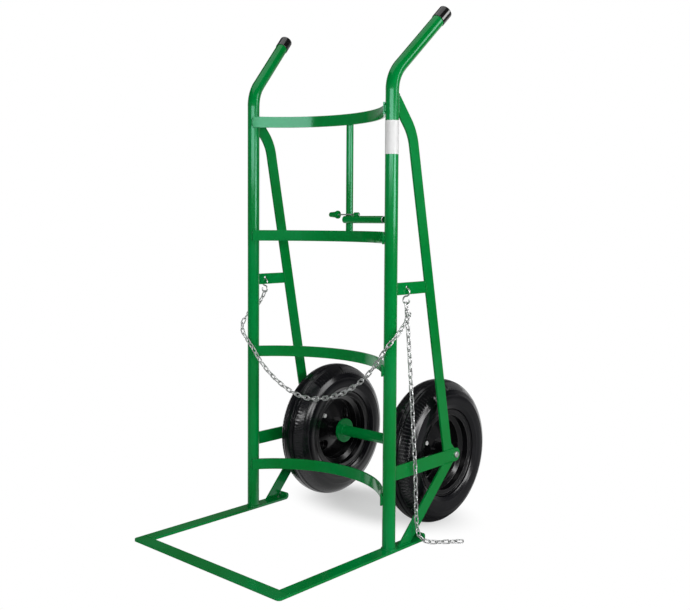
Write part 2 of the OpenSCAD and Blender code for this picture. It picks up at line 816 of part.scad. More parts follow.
// Bent stem: a foot through the rim's well, and a run out sideways towards +X
module valve_stem(side) {
    stem_r = valve_d / 2;
    color(rubber_black)
        on_wheel(side)
            difference() {
                union() {
                    translate([valve_r, 0, 0]) cylinder(h = valve_reach, r = stem_r);
                    translate([valve_r, 0, 0]) sphere(stem_r);
                    translate([valve_r, 0, 0])
                        rotate([0, 90, 0]) cylinder(h = rim_well_r + valve_foot_up - valve_r, r = stem_r);
                }
                translate([valve_r, 0, valve_reach - valve_cap_len / 2])
                    difference() {
                        cylinder(h = valve_cap_len, r = valve_d);
                        translate([0, 0, -cut_over])
                            cylinder(h = valve_cap_len + 2 * cut_over, r = stem_r - stem_r / 3);
                    }
            }
}

module valve_cap(side) {
    stem_r = valve_d / 2;
    thread_r = stem_r - stem_r / 3 + weld_gap;
    bevel = 1;
    color(zinc)
        on_wheel(side)
            translate([valve_r, 0, valve_reach - valve_cap_len / 2 + weld_gap])
                difference() {
                    rotate_extrude()
                        polygon([
                            [0, 0], [valve_cap_d / 2, 0], [valve_cap_d / 2, valve_cap_len - bevel],
                            [valve_cap_d / 2 - bevel, valve_cap_len], [0, valve_cap_len]
                        ]);
                    translate([0, 0, -cut_over]) cylinder(h = valve_cap_len / 2 + cut_over, r = thread_r);
                }
}

module hanger_post() {
    low = upper_rung_z - post_overlap;
    high = top_rung_z + post_overlap;
    color(frame_green)
        translate([0, post_y, low])
            difference() {
                cylinder(h = high - low, d = post_d);
                translate([0, 0, -cut_over])
                    cylinder(h = high - low + 2 * cut_over, d = post_d - 2 * post_wall);
            }
}

// Places a shape on a line along X through the arm's Y and a height, with Z along +X
module along_arm(x, z) translate([x, arm_y, z]) on_side_plane() children();

module hanger_arm()
    color(frame_green)
        along_arm(0, arm_z)
            difference() {
                cylinder(h = arm_len, d = arm_d);
                translate([0, 0, -cut_over]) cylinder(h = arm_len + 2 * cut_over, d = arm_d - 2 * arm_wall);
            }

module keeper_boss()
    color(frame_green)
        difference() {
            along_arm(boss_out - boss_len / 2, pin_z) cylinder(h = boss_len, d = boss_d);
            along_arm(0, arm_z) cylinder(h = arm_len, r = arm_d / 2 + weld_gap);
            along_arm(0, pin_z) cylinder(h = arm_len, r = pin_d / 2 + run_fit);
        }

module keeper_pin() {
    pin_start_x = -knob_out - knob_len / 2;
    color(zinc) {
        along_arm(pin_start_x, pin_z) cylinder(h = pin_end_x - pin_start_x, d = pin_d);
        along_arm(pin_end_x, pin_z) cylinder(h = pin_collar_len, d = pin_collar_d);
    }
}

module keeper_knob() {
    ring = 4;
    tip = knob_tip_d / 4;
    color(frame_green)
        along_arm(-knob_out - knob_len, pin_z)
            difference() {
                rotate_extrude() {
                    polygon([
                        [0, 0], [knob_tip_d / 2 - tip, 0], [knob_tip_d / 2, tip],
                        [knob_d / 2 - ring / 2, knob_len - ring], [knob_d / 2, knob_len - ring],
                        [knob_d / 2, knob_len], [0, knob_len]
                    ]);
                }
                translate([0, 0, knob_len / 2 - weld_gap])
                    cylinder(h = knob_len, r = pin_d / 2 + seat_fit);
            }
}

module upright_label()
    color(label_white)
        translate([upright_x, upright_y, label_z])
            rotate([0, 0, label_facing - label_wrap / 2])
                rotate_extrude(angle = label_wrap)
                    translate([tube_r + weld_gap, 0]) square([label_t, label_h]);

// An S-hook standing in the X-Z plane, its two loops meeting at its middle
module s_hook(wire_d, loop_r) {
    open_turn = 285;
    rotate([90, 0, 0])
        for (end = [0, 180])
            rotate([0, 0, end])
                translate([0, loop_r, 0])
                    rotate([0, 0, -90])
                        rotate_extrude(angle = open_turn)
                            translate([loop_r, 0]) circle(d = wire_d);
}

module chain_hook(side)
    color(zinc)
        translate([side * side_x, upright_y + hook_hole_back, hook_mid_z])
            mirror([side > 0 ? 0 : 1, 0, 0]) s_hook(hook_wire_d, hook_loop_r);

// One welded link, its length along Z and its width along X
module chain_link() {
    straight = 2 * (link_half - link_end_r);
    for (x = [-link_end_r, link_end_r])
        translate([x, 0, -straight / 2]) cylinder(h = straight, r = link_r);
    for (end = [0, 180])
        rotate([0, end, 0])
            translate([0, 0, straight / 2])
                rotate([90, 0, 0])
                    rotate_extrude(angle = 180)
                        translate([link_end_r, 0]) circle(link_r);
}

// Links between a chain's pivots, each turned a quarter from the last
module chain(pivots, twist)
    color(zinc)
        for (i = [0 : len(pivots) - 2])
            multmatrix(run_frame((pivots[i] + pivots[i + 1]) / 2, pivots[i + 1] - pivots[i], [0, 1, 0]))
                rotate([0, 0, 90 * (i + 1) + twist * min(i / twist_links, 1)])
                    chain_link();

module front_chain() chain(front_pivots, front_chain_twist);

module side_chain() chain(side_pivots, side_chain_twist);

// S-hook from the front chain's last link to the outer side of a link of the side chain
module chain_end_hook() {
    last = front_pivots[front_chain_links];
    grip = (side_pivots[end_hook_grip_link] + side_pivots[end_hook_grip_link + 1]) / 2 + [link_end_r, 0, 0];
    crown_to_grip = end_hook_wire_d / 2 + link_r + link_slack / 2;
    middle = grip - (2 * end_hook_loop_r - crown_to_grip) * unit(grip - last);
    color(zinc)
        multmatrix(run_frame(middle, grip - last, [0, 0, 1]))
            s_hook(end_hook_wire_d, end_hook_loop_r);
}

upright(left);  // left_upright
upright(right);  // right_upright
grip_cap(left);  // left_grip_cap
grip_cap(right);  // right_grip_cap
front_toe_bar();
base_bar(left);  // left_base_bar
base_bar(right);  // right_base_bar
rung(bottom_rung_z);  // bottom_rung
rung(lower_rung_z);  // lower_rung
rung(upper_rung_z);  // upper_rung
rung(top_rung_z);  // top_rung
stay(left);  // left_stay
stay(right);  // right_stay
mid_brace(left);  // left_mid_brace
mid_brace(right);  // right_mid_brace
axle_brace(left);  // left_axle_brace
axle_brace(right);  // right_axle_brace
leg(left, left_leg_foot_back);  // left_leg
leg(right, right_leg_foot_back);  // right_leg
axle_rod();
spacer_tube();
spacer_collars();
axle_washers();
axle_sleeves();
axle_clips();
tyre(left);  // left_tyre
tyre(right);  // right_tyre
inner_tube(left);  // left_inner_tube
inner_tube(right);  // right_inner_tube
rim(left);  // left_rim
rim(right);  // right_rim
wheel_disc(left);  // left_wheel_disc
wheel_disc(right);  // right_wheel_disc
hub(left);  // left_hub
hub(right);  // right_hub
bearings(left);  // left_bearings
bearings(right);  // right_bearings
valve_stem(left);  // left_valve_stem
valve_stem(right);  // right_valve_stem
valve_cap(left);  // left_valve_cap
valve_cap(right);  // right_valve_cap
hanger_post();
hanger_arm();
keeper_boss();
keeper_pin();
keeper_knob();
upright_label();
chain_hook(left);  // left_s_hook
chain_hook(right);  // right_s_hook
front_chain();
side_chain();
chain_end_hook();
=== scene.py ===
import json
from math import atan2, cos, pi, radians, sin, sqrt, tan

import bmesh
import bpy
from mathutils import Matrix, Vector


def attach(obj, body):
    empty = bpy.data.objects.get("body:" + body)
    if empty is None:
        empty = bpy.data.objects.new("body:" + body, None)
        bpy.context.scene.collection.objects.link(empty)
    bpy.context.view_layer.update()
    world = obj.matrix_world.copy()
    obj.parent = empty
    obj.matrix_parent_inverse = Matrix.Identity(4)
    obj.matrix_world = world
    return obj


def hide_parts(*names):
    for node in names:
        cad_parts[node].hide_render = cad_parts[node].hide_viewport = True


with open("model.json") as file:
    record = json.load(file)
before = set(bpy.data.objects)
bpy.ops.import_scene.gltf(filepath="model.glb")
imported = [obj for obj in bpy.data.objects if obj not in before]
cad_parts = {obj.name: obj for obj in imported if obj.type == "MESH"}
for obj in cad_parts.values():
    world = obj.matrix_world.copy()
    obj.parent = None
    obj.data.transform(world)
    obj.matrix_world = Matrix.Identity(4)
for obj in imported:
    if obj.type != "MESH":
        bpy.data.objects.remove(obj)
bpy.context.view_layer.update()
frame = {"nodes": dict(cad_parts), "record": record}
nodes = frame["nodes"]
scene = bpy.context.scene

mm = 0.001

# Places taken over from the part, in metres
upright_y = -33.5 * mm
axle_y = 228.5 * mm
axle_z = 189 * mm
wheel_x = 184 * mm


# Camera

camera_place = (1.59252, -1.69773, 0.79531)
camera_turn, camera_tilt, camera_roll = 42.98, 2.88, 0.28
camera_lens, camera_sensor = 47.03, 36
camera_shift = (0.0229, -0.0562)


def set_camera():
    turn, tilt, roll = radians(camera_turn), radians(camera_tilt), radians(camera_roll)
    back = Vector((sin(turn) * cos(tilt), -cos(turn) * cos(tilt), sin(tilt)))
    across = Vector((cos(turn), sin(turn), 0))
    up = back.cross(across)
    columns = (across * cos(roll) + up * sin(roll), up * cos(roll) - across * sin(roll), back)
    camera = bpy.data.objects.new("trolley_camera", bpy.data.cameras.new("trolley_camera"))
    camera.matrix_world = Matrix.Translation(camera_place) @ Matrix(columns).transposed().to_4x4()
    camera.data.sensor_width = camera_sensor
    camera.data.lens = camera_lens
    camera.data.shift_x, camera.data.shift_y = camera_shift
    scene.collection.objects.link(camera)
    scene.camera = camera


set_camera()


# Making pieces

def finished(name, bm, body, material, sharp=35, merge=0.01 * mm):
    """Closes a bmesh into a piece that rides on a body, with its finish."""
    bmesh.ops.remove_doubles(bm, verts=bm.verts, dist=merge)
    bmesh.ops.recalc_face_normals(bm, faces=bm.faces)
    for face in bm.faces:
        face.smooth = True
    mesh = bpy.data.meshes.new(name)
    bm.to_mesh(mesh)
    bm.free()
    mesh.set_sharp_from_angle(angle=radians(sharp))
    mesh.materials.append(material)
    piece = bpy.data.objects.new(name, mesh)
    scene.collection.objects.link(piece)
    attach(piece, body)
    return piece


def add_copy(bm, mesh, place):
    """Adds a mesh to a bmesh at a place."""
    before = len(bm.verts)
    bm.from_mesh(mesh)
    bm.verts.ensure_lookup_table()
    bmesh.ops.transform(bm, matrix=place, verts=bm.verts[before:])


def standing_frame(origin, along, axis):
    """Matrix at an origin with its Z along a direction and its X square to an axis."""
    z = along.normalized()
    x = axis.cross(z).normalized()
    y = z.cross(x)
    return Matrix.Translation(origin) @ Matrix((x, y, z)).transposed().to_4x4()


def ring_edges(ring):
    """The edges of a ring just made, each of them once."""
    return list(dict.fromkeys(e for v in ring["verts"] for e in v.link_edges))


def edges_in(geom):
    return [g for g in geom if isinstance(g, bmesh.types.BMEdge)]


def verts_in(geom):
    return [g for g in geom if isinstance(g, bmesh.types.BMVert)]


def ring_scale(bm, verts, want_r):
    """Brings a ring of vertices to a radius, and gives its middle."""
    middle = sum((v.co for v in verts), Vector()) / len(verts)
    now = (verts[0].co - middle).length
    bmesh.ops.scale(bm, vec=(want_r / now,) * 3, space=Matrix.Translation(-middle), verts=verts)
    return middle


# Finishes: effects that several finishes share

def new_group(name, inputs, outputs):
    group = bpy.data.node_groups.new(name, "ShaderNodeTree")
    for label, value in inputs.items():
        socket = group.interface.new_socket(label, in_out="INPUT", socket_type="NodeSocketFloat")
        socket.default_value = value
    for label, kind in outputs.items():
        group.interface.new_socket(label, in_out="OUTPUT", socket_type=kind)
    return group, group.nodes.new("NodeGroupInput"), group.nodes.new("NodeGroupOutput")


def math_node(tree, operation, first, second):
    node = tree.nodes.new("ShaderNodeMath")
    node.operation = operation
    for socket, value in zip(node.inputs, (first, second)):
        if isinstance(value, (int, float)):
            socket.default_value = value
        else:
            tree.links.new(value, socket)
    return node.outputs[0]


def make_surface_tone():
    """Broad tone and fine height that wander over a piece; Scale is features to the metre."""
    group, given, result = new_group(
        "surface_tone", {"Scale": 8.0, "Fine Scale": 400.0},
        {"Tone": "NodeSocketFloat", "Height": "NodeSocketFloat"})
    place = group.nodes.new("ShaderNodeTexCoord")
    broad = group.nodes.new("ShaderNodeTexNoise")
    broad.inputs["Detail"].default_value = 4
    fine = group.nodes.new("ShaderNodeTexNoise")
    fine.inputs["Detail"].default_value = 2
    for noise, socket in ((broad, "Scale"), (fine, "Fine Scale")):
        group.links.new(place.outputs["Object"], noise.inputs["Vector"])
        group.links.new(given.outputs[socket], noise.inputs["Scale"])
    group.links.new(broad.outputs["Fac"], result.inputs["Tone"])
    group.links.new(fine.outputs["Fac"], result.inputs["Height"])
    return group


def make_soft_edge():
    """Edges rounded in the shading, and a mask along them that places a painted highlight on the
    edges.
    """
    group, given, result = new_group(
        "soft_edge", {"Radius": 0.001, "Strength": 3.0},
        {"Normal": "NodeSocketVector", "Edge": "NodeSocketFloat"})
    rounded = group.nodes.new("ShaderNodeBevel")
    rounded.samples = 6
    group.links.new(given.outputs["Radius"], rounded.inputs["Radius"])
    flat = group.nodes.new("ShaderNodeNewGeometry")
    dot = group.nodes.new("ShaderNodeVectorMath")
    dot.operation = "DOT_PRODUCT"
    group.links.new(rounded.outputs["Normal"], dot.inputs[0])
    group.links.new(flat.outputs["Normal"], dot.inputs[1])
    turned = math_node(group, "SUBTRACT", 1.0, dot.outputs["Value"])
    painted_edge_light = math_node(group, "MULTIPLY", turned, given.outputs["Strength"])
    clamp = group.nodes.new("ShaderNodeClamp")
    group.links.new(painted_edge_light, clamp.inputs["Value"])
    group.links.new(rounded.outputs["Normal"], result.inputs["Normal"])
    group.links.new(clamp.outputs["Result"], result.inputs["Edge"])
    return group


surface_tone = make_surface_tone()
soft_edge = make_soft_edge()


def place_group(tree, group, **values):
    node = tree.nodes.new("ShaderNodeGroup")
    node.node_tree = group
    for label, value in values.items():
        node.inputs[label.replace("_", " ")].default_value = value
    return node


def blend_colour(tree, share, first, second):
    node = tree.nodes.new("ShaderNodeMix")
    node.data_type = "RGBA"
    tree.links.new(share, node.inputs["Factor"])
    for label, value in (("A", first), ("B", second)):
        socket = next(s for s in node.inputs if s.name == label and s.type == "RGBA")
        if isinstance(value, tuple):
            socket.default_value = (*value, 1)
        else:
            tree.links.new(value, socket)
    return next(s for s in node.outputs if s.type == "RGBA")


noise_from, noise_to = 0.3, 0.7


def map_share(tree, share, low, high):
    """Spreads the middle of a noise over a range."""
    node = tree.nodes.new("ShaderNodeMapRange")
    node.inputs["From Min"].default_value = noise_from
    node.inputs["From Max"].default_value = noise_to
    node.inputs["To Min"].default_value = low
    node.inputs["To Max"].default_value = high
    tree.links.new(share, node.inputs["Value"])
    return node.outputs["Result"]


def finish_material(name, dark, light, painted_edge_light, rough, metallic=0.0, gloss=0.5, shine=(1, 1, 1),
                    scale=8.0, fine=400.0, bump=0.1, depth=0.0002, edge_radius=0.0008,
                    edge_strength=2.0):
    """One finish: two tones that wander, an edge tone painted on as a highlight (on the label, as a
    shade), a range of gloss and a fine bump.
    """
    material = bpy.data.materials.new(name)
    material.use_nodes = True
    tree = material.node_tree
    shader = tree.nodes["Principled BSDF"]
    tone = place_group(tree, surface_tone, Scale=scale, Fine_Scale=fine)
    rim = place_group(tree, soft_edge, Radius=edge_radius, Strength=edge_strength)
    spread = map_share(tree, tone.outputs["Tone"], 0.0, 1.0)
    body = blend_colour(tree, spread, dark, light)
    # Painted highlight: the edge mask lays the edge colour over the body along the edges.
    tree.links.new(blend_colour(tree, rim.outputs["Edge"], body, painted_edge_light), shader.inputs["Base Color"])
    tree.links.new(map_share(tree, tone.outputs["Tone"], *rough), shader.inputs["Roughness"])
    shader.inputs["Metallic"].default_value = metallic
    shader.inputs["Specular IOR Level"].default_value = gloss
    shader.inputs["Specular Tint"].default_value = (*shine, 1)
    height = tree.nodes.new("ShaderNodeBump")
    height.inputs["Strength"].default_value = bump
    height.inputs["Distance"].default_value = depth
    tree.links.new(tone.outputs["Height"], height.inputs["Height"])
    tree.links.new(rim.outputs["Normal"], height.inputs["Normal"])
    tree.links.new(height.outputs["Normal"], shader.inputs["Normal"])
    return material


def green_finish(name, edge_radius):
    """The frame's enamel; without an edge radius it suits the round tubes."""
    # The third colour is painted on the edges as a highlight, lighter than the enamel.
    return finish_material(
        name, (0.0, 0.184, 0.024), (0.0, 0.24, 0.05), (0.01, 0.3, 0.11), (0.1, 0.16), gloss=0.5,
        shine=(0.5, 1.0, 0.86), scale=6, fine=60, bump=0.012, depth=0.0001, edge_radius=edge_radius)


green_enamel = green_finish("green_enamel", 0.0006)
tube_enamel = green_finish("tube_enamel", 0.0)
# In the finishes below, the third colour is painted on the edges as a highlight, lighter than the
# body, except on the label film.
handle_rubber = finish_material(
    "handle_rubber", (0.006, 0.006, 0.006), (0.012, 0.012, 0.012), (0.12, 0.12, 0.12), (0.1, 0.18),
    gloss=0.9, scale=30, fine=500, bump=0.04, edge_radius=0.0014)
tyre_rubber = finish_material(
    "tyre_rubber", (0.003, 0.003, 0.0042), (0.006, 0.006, 0.008), (0.05, 0.05, 0.056), (0.14, 0.24),
    gloss=0.5, scale=14, fine=500, bump=0.08, edge_radius=0.0009, edge_strength=3.0)
tube_rubber = finish_material(
    "tube_rubber", (0.007, 0.007, 0.007), (0.012, 0.012, 0.012), (0.03, 0.03, 0.03), (0.5, 0.65),
    gloss=0.3, scale=20)
rim_enamel = finish_material(
    "rim_enamel", (0.003, 0.003, 0.0035), (0.006, 0.006, 0.007), (0.3, 0.3, 0.31), (0.12, 0.2),
    gloss=0.5, scale=10, fine=120, bump=0.02, depth=0.0002, edge_radius=0.0009, edge_strength=2.5)
bright_zinc = finish_material(
    "bright_zinc", (0.7, 0.7, 0.71), (0.84, 0.84, 0.84), (0.9, 0.9, 0.9), (0.32, 0.45),
    metallic=1.0, scale=60, fine=1500, bump=0.1, edge_radius=0.0003)
hook_zinc = finish_material(
    "hook_zinc", (0.78, 0.78, 0.79), (0.88, 0.88, 0.88), (0.92, 0.92, 0.92), (0.32, 0.45),
    metallic=1.0, scale=60, fine=1500, bump=0.08, edge_radius=0.0003)
turned_steel = finish_material(
    "turned_steel", (0.72, 0.72, 0.73), (0.86, 0.86, 0.86), (0.92, 0.92, 0.92), (0.42, 0.52),
    metallic=1.0, scale=40, fine=1200, bump=0.1, edge_radius=0.0005)
cap_plastic = finish_material(
    "cap_plastic", (0.72, 0.72, 0.71), (0.8, 0.8, 0.8), (0.84, 0.84, 0.84), (0.25, 0.35),
    scale=40, fine=900, bump=0.05, edge_radius=0.0004)
# The label's edge colour is darker than the film: a painted shade along its edges.
label_film = finish_material(
    "label_film", (0.7, 0.7, 0.695), (0.75, 0.75, 0.75), (0.62, 0.62, 0.62), (0.35, 0.45),
    scale=25, fine=900, bump=0.04, edge_radius=0.0002)

finish_of_slot = {
    "frame_green": green_enamel, "grip_rubber": handle_rubber, "axle_steel": turned_steel,
    "zinc": bright_zinc, "label_white": label_film, "tyre": tyre_rubber,
    "inner_tube": tube_rubber, "rim_black": rim_enamel,
}


# Chains, along the part's own routes, with Y behind the uprights' axes

link_pitch = 16.5 * mm
link_wire_r = 1.65 * mm
link_end_r = 4.6 * mm
link_straight = 11.3 * mm
link_sides, link_end_steps = 8, 6
# Shares of a link's first side, and the swell of its wire there
link_weld = ((0.42, 1.0), (0.46, 1.16), (0.54, 1.16), (0.58, 1.0), (1.0, 1.0))
route_steps = 8
twist_links = 10

front_route = [
    (-250, 50, 598.15), (-256, 46, 580), (-263, 33, 560), (-269, 8, 540), (-270, -11, 520),
    (-261, -25, 500), (-244, -28, 478), (-221, -26, 456), (-179, -26, 412), (-128, -26, 377),
    (-71, -26, 352), (-17, -26, 342), (30, -26, 345), (88, -26, 360), (138, -26, 384),
    (186, -26, 418), (223, -26, 458), (243, -26, 485), (258, -23, 505), (269, -11, 524),
    (272, 7, 542), (269, 25, 556), (264, 39, 566), (260, 47, 572),
]
side_route = [
    (250, 50, 598.15), (252, 52, 560), (256, 56, 480), (258, 61, 400), (261, 67, 300),
    (263, 74, 200), (263.5, 78, 120), (264, 79.5, 75), (265, 81, 45), (268.5, 84.5, 24),
    (277, 93.5, 10.5), (290, 108, 5.8), (306, 126, 5.5), (325, 148, 5.5), (347, 174, 5.5),
]


def smooth_route(route):
    """The route's points, filled in along a smooth curve through them."""
    points = [Vector(p) * mm + Vector((0, upright_y, 0)) for p in route]
    line = []
    for i in range(len(points) - 1):
        a, b = points[max(i - 1, 0)], points[i]
        c, d = points[i + 1], points[min(i + 2, len(points) - 1)]
        for k in range(route_steps):
            t = k / route_steps
            line.append(b + t * (c - a) / 2 + t * t * (a - 2.5 * b + 2 * c - d / 2)
                        + t ** 3 * (1.5 * (b - c) + (d - a) / 2))
    return line + [points[-1]]


def chain_pivots(route, count):
    """Points a link's pitch apart along a route."""
    line = smooth_route(route)
    pivots, walked, want = [], 0.0, 0.0
    for a, b in zip(line, line[1:]):
        step = (b - a).length
        while len(pivots) <= count and want <= walked + step:
            pivots.append(a.lerp(b, (want - walked) / step))
            want += link_pitch
        walked += step
    return pivots


def link_mesh():
    """One welded link, its length along Z and its width along X, with its weld on one side."""
    bm = bmesh.new()
    ring = bmesh.ops.create_circle(bm, segments=link_sides, radius=link_wire_r,
                                   matrix=Matrix.Translation((link_end_r, 0, -link_straight / 2)))
    edges = ring_edges(ring)
    for share, swell in link_weld:
        made = bmesh.ops.extrude_edge_only(bm, edges=edges)["geom"]
        edges, verts = edges_in(made), verts_in(made)
        middle = ring_scale(bm, verts, swell * link_wire_r)
        want = Vector((link_end_r, 0, (share - 0.5) * link_straight))
        bmesh.ops.translate(bm, vec=want - middle, verts=verts)
    made = bmesh.ops.spin(bm, geom=edges, cent=(0, 0, link_straight / 2), axis=(0, -1, 0), angle=pi,
                          steps=link_end_steps)
    made = bmesh.ops.extrude_edge_only(bm, edges=edges_in(made["geom_last"]))["geom"]
    bmesh.ops.translate(bm, vec=(0, 0, -link_straight), verts=verts_in(made))
    bmesh.ops.spin(bm, geom=edges_in(made), cent=(0, 0, -link_straight / 2), axis=(0, -1, 0),
                   angle=pi, steps=link_end_steps)
    bmesh.ops.remove_doubles(bm, verts=bm.verts, dist=0.01 * mm)
    mesh = bpy.data.meshes.new("chain_link")
    bm.to_mesh(mesh)
    bm.free()
    return mesh


chain_link = link_mesh()


def hang_chain(name, node, route, count, twist):
    """A chain of links between its pivots, each turned a quarter from the last."""
    pivots = chain_pivots(route, count)
    bm = bmesh.new()
    for i, (a, b) in enumerate(zip(pivots, pivots[1:])):
        roll = radians(90 * (i + 1) + twist * min(i / twist_links, 1))
        add_copy(bm, chain_link, standing_frame((a + b) / 2, b - a, Vector((0, 1, 0)))
                 @ Matrix.Rotation(roll, 4, "Z"))
    chain = finished(name, bm, "frame", bright_zinc, sharp=60)
    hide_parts(node)


hang_chain("front_chain_links", "front_chain", front_route, count=52, twist=90)
hang_chain("side_chain_links", "side_chain", side_route, count=42, twist=15)
bpy.data.meshes.remove(chain_link)


# Tyres: a crown with ribs and grooves, cross ribs on its shoulders, and plain sidewalls

tyre_ring_r = 140 * mm
tyre_section_r = 49 * mm
tyre_lining_r = 41 * mm
cross_ribs = 120
cross_rib_depth = 2.4 * mm
shoulder_from, shoulder_to = 22 * mm, 39 * mm
shoulder_low_r = 162 * mm
groove_from, groove_to = 15 * mm, 22.5 * mm
groove_low_r = 180 * mm
sidewall_ring_swell = 0.7 * mm
sidewall_ring_turns = (75, 106)
zigzag = 1.4 * mm


def crown_r(x):
    return tyre_ring_r + sqrt(tyre_section_r ** 2 - x ** 2)


def tyre_section():
    """Half of the tyre's section, from the crown's middle round the bead to the lining's middle."""
    tread = [(0, 0), (6.6, 0), (7.4, 2.6), (9.8, 2.6), (10.6, 0), (16, 0), (17.2, 3.6), (20.6, 3.6),
             (22, 0), (27, 0), (33, 0), (39, 0), (42.5, 0)]
    outside = [(x * mm, crown_r(x * mm) - depth * mm) for x, depth in tread]
    for turn in (66, 72, 75, 77, 82, 90, 98, 104, 106, 112, 118):
        swell = sidewall_ring_swell if turn in sidewall_ring_turns else 0
        reach = tyre_section_r + swell
        outside.append((reach * sin(radians(turn)), tyre_ring_r + reach * cos(radians(turn))))
    bead = [(42.2, 115.6), (35.4, 115.6), (34.7, 104), (31, 102.2), (24, 102.2)]
    lining = [(tyre_lining_r * sin(radians(turn)), tyre_ring_r + tyre_lining_r * cos(radians(turn)))
              for turn in (130, 105, 80, 55, 30, 0)]
    return outside + [(x * mm, r * mm) for x, r in bead] + lining


def make_tyre(name, side, body):
    """One cross rib's share of the tyre, repeated round the axle."""
    bm = bmesh.new()
    half = tyre_section()
    other = [(-x, r) for x, r in reversed(half[1:-1])]
    section = [bm.verts.new((x, 0, r)) for x, r in half + other]
    edges = [bm.edges.new((section[i - 1], section[i])) for i in range(len(section))]
    share = 2 * pi / cross_ribs
    bmesh.ops.spin(bm, geom=section + edges, cent=(0, 0, 0), axis=(1, 0, 0), angle=share, steps=2)
    for vert in bm.verts:
        halfway = 0.4 * share < abs(atan2(vert.co.y, vert.co.z)) < 0.6 * share
        at_groove = groove_from < abs(vert.co.x) < groove_to and vert.co.yz.length > groove_low_r
        if halfway and at_groove:
            vert.co.x += zigzag if vert.co.x > 0 else -zigzag
    for flank in (-1, 1):
        sunk = []
        for face in bm.faces:
            middle = face.calc_center_median()
            between_ribs = abs(atan2(middle.y, middle.z)) > share / 2
            on_shoulder = shoulder_from < flank * middle.x < shoulder_to
            if between_ribs and on_shoulder and middle.yz.length > shoulder_low_r:
                sunk.append(face)
        made = bmesh.ops.extrude_face_region(bm, geom=sunk)["geom"]
        for vert in verts_in(made):
            spoke = Vector((0, vert.co.y, vert.co.z)).normalized() * tyre_ring_r
            vert.co += (spoke - vert.co).normalized() * cross_rib_depth
    everything = bm.verts[:] + bm.edges[:] + bm.faces[:]
    bmesh.ops.spin(bm, geom=everything, cent=(0, 0, 0), axis=(1, 0, 0), angle=2 * pi - share,
                   steps=cross_ribs - 1, use_duplicate=True)
    bmesh.ops.translate(bm, vec=(side * wheel_x, axle_y, axle_z), verts=bm.verts)
    tyre = finished(name, bm, body, tyre_rubber, sharp=32, merge=0.03 * mm)
    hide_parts(body.replace("wheel", "tyre"))


make_tyre("left_tyre_tread", -1, "left_wheel")
make_tyre("right_tyre_tread", 1, "right_wheel")


# Rolled edges of the pressed pockets in the wheel discs

pocket_reach = 62 * mm
pocket_r = 17 * mm
pocket_turns = (85, -109)
roll_r = 2.5 * mm
roll_sink, roll_lap = 0.7 * roll_r, 0.4 * roll_r
disc_rise, disc_flat_r, disc_slope = 10 * mm, 33 * mm, 0.3502


def disc_height(r):
    """How far the disc's outer face stands out at a distance from the axle."""
    return disc_rise - disc_slope * (r - disc_flat_r)


def make_pocket_rims(name, side, body, valve_angle):
    """A rolled edge round each pocket, bent to the disc's slope."""
    bm = bmesh.new()
    for pocket_turn in pocket_turns:
        spot = radians(valve_angle + pocket_turn)
        middle = Vector((0, pocket_reach * cos(spot), pocket_reach * sin(spot)))
        place = Matrix.Translation(middle + Vector((-roll_sink, 0, pocket_r + roll_lap)))
        ring = bmesh.ops.create_circle(bm, segments=10, radius=roll_r,
                                       matrix=place @ Matrix.Rotation(pi / 2, 4, "X"))
        bmesh.ops.spin(bm, geom=ring["verts"] + ring_edges(ring), cent=middle, axis=(1, 0, 0),
                       angle=2 * pi, steps=40, use_merge=True)
    for vert in bm.verts:
        vert.co.x += disc_height(vert.co.yz.length)
    bmesh.ops.translate(bm, vec=(side * wheel_x, axle_y, axle_z), verts=bm.verts)
    finished(name, bm, body, rim_enamel)


make_pocket_rims("left_pocket_rims", -1, "left_wheel", valve_angle=142)
make_pocket_rims("right_pocket_rims", 1, "right_wheel", valve_angle=154)


# Welds

bead_sides = 8
# Shares of a bead's radius
ripple_pitch, ripple_valley, bead_tip = 1.3, 0.84, 0.5


def weld_run(bm, start, end, bead_r):
    """A straight bead with ripples, in millimetres, its ends drawn in."""
    start, run = Vector(start) * mm, (Vector(end) - Vector(start)) * mm
    bead_r *= mm
    across = Vector((1, 0, 0)) if abs(run.z) > 0.7 * run.length else Vector((0, 0, 1))
    ripples = 2 * max(3, round(run.length / (ripple_pitch * bead_r)))
    ring = bmesh.ops.create_circle(bm, cap_ends=True, segments=bead_sides, radius=bead_tip * bead_r,
                                   matrix=standing_frame(start, run, across))
    edges = ring_edges(ring)
    for k in range(1, ripples + 1):
        made = bmesh.ops.extrude_edge_only(bm, edges=edges)["geom"]
        edges, verts = edges_in(made), verts_in(made)
        bmesh.ops.translate(bm, vec=run / ripples, verts=verts)
        swell = bead_tip if k == ripples else 1.0 if k % 2 else ripple_valley
        ring_scale(bm, verts, bead_r * swell)
    bmesh.ops.edgeloop_fill(bm, edges=edges)


def weld_ring(bm, middle, axis, ring_r, bead_r):
    """A bead with ripples round a tube, in millimetres."""
    middle, axis = Vector(middle) * mm, Vector(axis)
    ring_r, bead_r = ring_r * mm, bead_r * mm
    side = Vector((0, 1, 0))
    ripples = 2 * round(pi * ring_r / (ripple_pitch * bead_r))
    place = standing_frame(middle + side * ring_r, axis.cross(side), axis)
    ring = bmesh.ops.create_circle(bm, segments=bead_sides, radius=bead_r, matrix=place)
    before = len(bm.verts) - bead_sides
    bmesh.ops.spin(bm, geom=ring["verts"] + ring_edges(ring), cent=middle, axis=axis, angle=2 * pi,
                   steps=ripples, use_merge=True)
    bm.verts.ensure_lookup_table()
    for k in range(0, ripples, 2):
        first = before + bead_sides * k
        ring_scale(bm, bm.verts[first:first + bead_sides], bead_r * ripple_valley)


